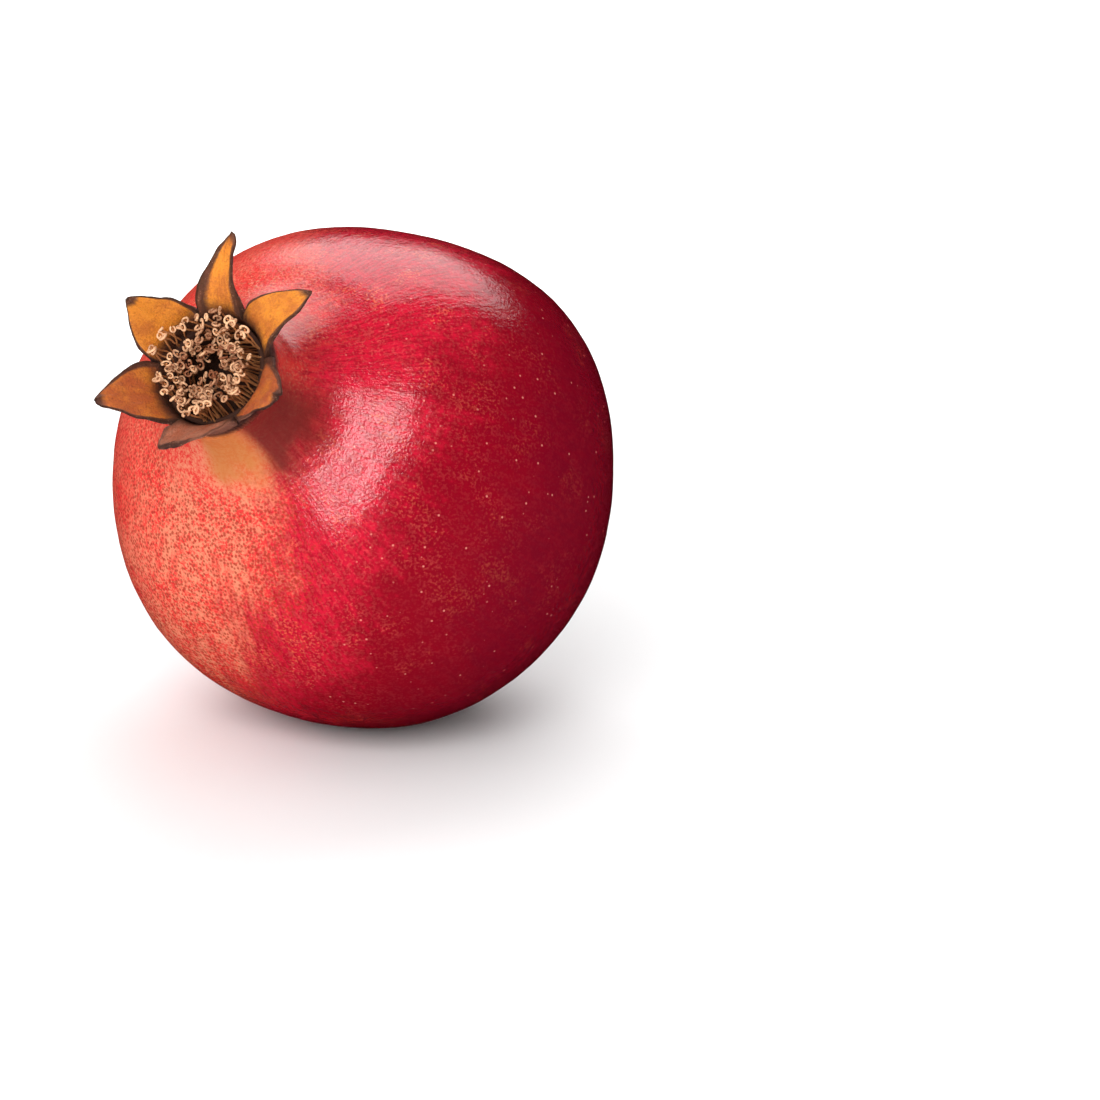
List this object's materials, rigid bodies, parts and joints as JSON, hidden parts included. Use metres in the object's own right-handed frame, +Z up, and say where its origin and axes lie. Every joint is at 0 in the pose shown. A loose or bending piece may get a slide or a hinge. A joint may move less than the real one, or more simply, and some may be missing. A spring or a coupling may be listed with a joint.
{
  "type": "pomegranate",
  "caption": "Whole ripe pomegranate with its pointed calyx crown, dried stamens and a stub of stalk, lying on a small flat spot with the crown raised.",
  "frame": {"origin": "centre of the small flat spot that the fruit rests on", "axes": "+Z up, -Y the way that the crown points, seen from above, and +X to the right of it when it is seen from the crown's end"},
  "size_m": [0.097, 0.1164, 0.1022],
  "materials": {
    "rind": "smooth, tough, half-glossy red rind, with dry amber-brown leathery lobes at the crown",
    "stamen": "dry, matt, tan to dark brown threads",
    "stalk": "dry, matt, dark brown woody stub"
  },
  "bodies": {
    "root": {"fruit": "rind", "stamens": "stamen", "stalk_stub": "stalk"}
  },
  "joints": []
}
